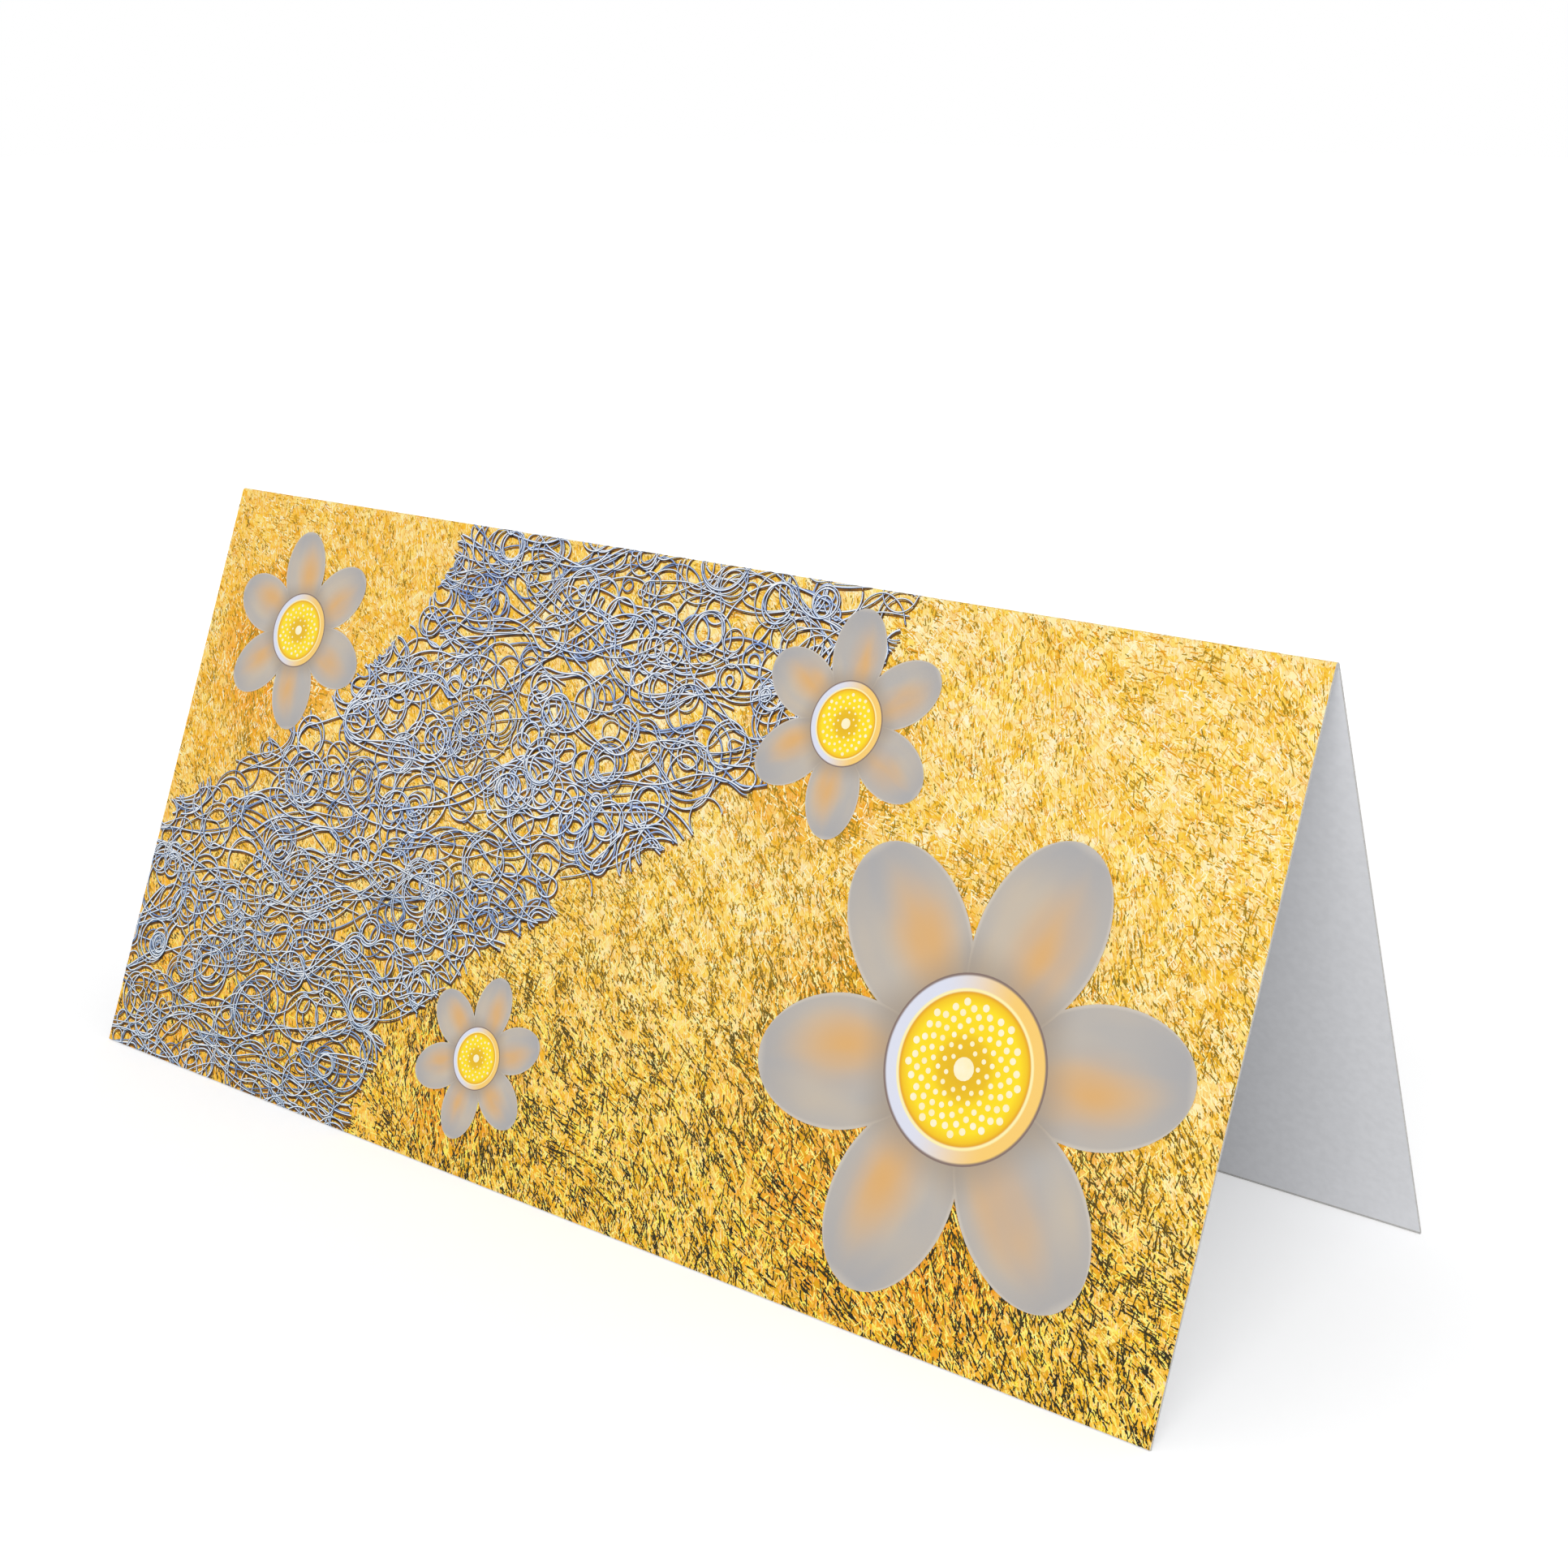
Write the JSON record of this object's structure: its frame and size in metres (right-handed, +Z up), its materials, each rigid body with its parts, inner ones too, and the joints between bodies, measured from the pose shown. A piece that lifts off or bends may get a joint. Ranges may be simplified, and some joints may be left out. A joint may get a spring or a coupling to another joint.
{
  "type": "greeting card",
  "caption": "Slim landscape greeting card: a single creased board sheet standing open as a tent on its long cut edges, with a printed front panel and plain white insides.",
  "frame": {"origin": "middle of the ground that the standing card covers, at the level of the inner lips of its two cut edges", "axes": "+X along the fold, to the right of a reader who faces the printed panel; -Y out of the printed panel; +Z up, towards the fold"},
  "size_m": [0.21, 0.0748, 0.0918],
  "materials": {
    "picture_board": "matte",
    "gold_print": "satin",
    "silver_blue_print": "satin",
    "frosted_print": "satin",
    "yellow_print": "satin"
  },
  "bodies": {
    "root": {"folded_card": "picture_board"}
  },
  "joints": []
}
